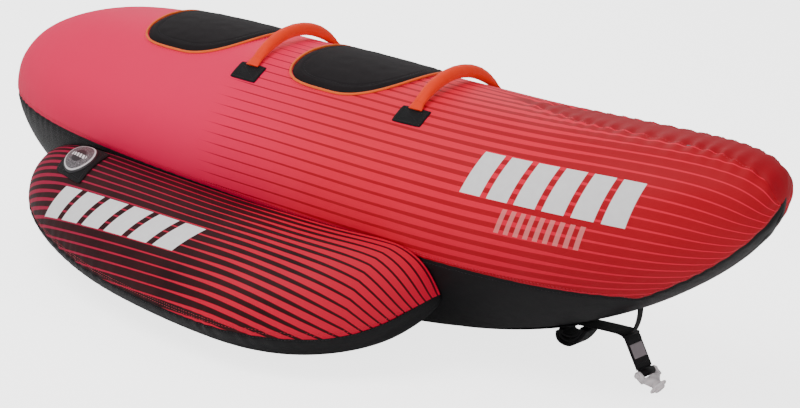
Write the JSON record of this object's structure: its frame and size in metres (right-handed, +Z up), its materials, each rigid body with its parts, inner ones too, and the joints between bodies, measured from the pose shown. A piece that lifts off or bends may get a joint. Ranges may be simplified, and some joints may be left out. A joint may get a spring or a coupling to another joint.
{
  "type": "towable tube",
  "caption": "Inflatable towable tube: a raised central hull with oval seat pads and arched grab handles, low side pontoons, and a tow strap with a spool connector.",
  "frame": {"origin": "on the ground, under the middle of the overall length and width", "axes": "+X towards the nose, +Y to port, +Z up"},
  "size_m": [2.435, 1.256, 0.6669],
  "materials": {
    "coral_cover": "satin",
    "crimson_cover": "satin",
    "black_cover": "satin",
    "bladder": "satin",
    "seat": "matte",
    "piping": "matte",
    "grip": "matte",
    "webbing": "matte",
    "badge": "satin",
    "valve": "satin",
    "zip": "matte",
    "slider": "satin",
    "label": "matte",
    "connector": "satin"
  },
  "bodies": {
    "tube": {"hull_top_cover": "coral_cover", "hull_bottom_cover": "black_cover", "hull_bladder": "bladder", "rear_seat_pad": "seat", "rear_seat_piping": "piping", "front_seat_pad": "seat", "front_seat_piping": "piping", "rear_handle_patch_starboard": "webbing", "rear_handle_patch_port": "webbing", "front_handle_patch_starboard": "webbing", "front_handle_patch_port": "webbing", "starboard_top_cover": "crimson_cover", "starboard_bottom_cover": "black_cover", "starboard_bladder": "bladder", "starboard_joining_strip": "webbing", "starboard_valve_body": "valve", "port_top_cover": "crimson_cover", "port_bottom_cover": "black_cover", "port_bladder": "bladder", "port_joining_strip": "webbing", "port_valve_body": "valve", "hull_valve_body": "valve", "hull_zip_tape": "zip", "tow_belly_webbing": "webbing", "tow_slack_loop": "webbing", "tow_stay_strap": "webbing"},
    "rear_handle": {"rear_handle_grip": "grip", "rear_handle_webbing": "webbing"},
    "front_handle": {"front_handle_grip": "grip", "front_handle_webbing": "webbing"},
    "starboard_flap": {"starboard_valve_flap": "webbing", "starboard_valve_badge": "badge"},
    "port_flap": {"port_valve_flap": "webbing", "port_valve_badge": "badge"},
    "hull_flap": {"hull_valve_flap": "webbing", "hull_valve_badge": "badge"},
    "starboard_cap": {"starboard_valve_cap": "valve"},
    "port_cap": {"port_valve_cap": "valve"},
    "hull_cap": {"hull_valve_cap": "valve"},
    "zip_slider": {"hull_zip_slider": "slider"},
    "tow_strap": {"tow_strap": "webbing", "tow_label": "label"},
    "connector": {"quick_connector": "connector"}
  },
  "joints": [
    {"name": "rear_handle_flop", "type": "hinge", "parent": "tube", "child": "rear_handle", "pos_m": [-0.2095, 0, 0.59239], "axis": [0, 1, 0], "range_deg": [-20, 20], "stiffness_Nm_per_rad": 0.6},
    {"name": "front_handle_flop", "type": "hinge", "parent": "tube", "child": "front_handle", "pos_m": [0.3115, 0, 0.58489], "axis": [0, 1, 0], "range_deg": [-20, 20], "stiffness_Nm_per_rad": 0.6},
    {"name": "starboard_flap_open", "type": "hinge", "parent": "tube", "child": "starboard_flap", "pos_m": [-0.58396, -0.436, 0.26038], "axis": [0.9544, -0.2985, 0.0046], "range_deg": [0, 110]},
    {"name": "port_flap_open", "type": "hinge", "parent": "tube", "child": "port_flap", "pos_m": [-0.58396, 0.436, 0.26038], "axis": [-0.9544, -0.2985, -0.0046], "range_deg": [0, 110]},
    {"name": "hull_flap_open", "type": "hinge", "parent": "tube", "child": "hull_flap", "pos_m": [-0.83308, 0.17118, 0.539], "axis": [0.9824, 0.1432, 0.1203], "range_deg": [0, 120]},
    {"name": "starboard_cap_turn", "type": "hinge", "parent": "tube", "child": "starboard_cap", "pos_m": [-0.6015, -0.37113, 0.28706], "axis": [-0.1071, -0.3147, 0.9431], "continuous": true},
    {"name": "port_cap_turn", "type": "hinge", "parent": "tube", "child": "port_cap", "pos_m": [-0.6015, 0.37113, 0.28706], "axis": [-0.1071, 0.3147, 0.9431], "continuous": true},
    {"name": "hull_cap_turn", "type": "hinge", "parent": "tube", "child": "hull_cap", "pos_m": [-0.8325, 0.21616, 0.48465], "axis": [-0.1912, 0.8072, 0.5585], "continuous": true},
    {"name": "zip_slide", "type": "slide", "parent": "tube", "child": "zip_slider", "axis": [-0.9996, 0.0046, 0.0295], "range_m": [0, 0.12]},
    {"name": "tow_strap_swing", "type": "hinge", "parent": "tube", "child": "tow_strap", "pos_m": [0.8605, 0, 0.131], "axis": [0, -1, 0], "range_deg": [-35, 80]},
    {"name": "connector_swing", "type": "hinge", "parent": "tow_strap", "child": "connector", "pos_m": [0.9095, 0, 0.052], "axis": [0, -1, 0], "range_deg": [-40, 55]}
  ]
}
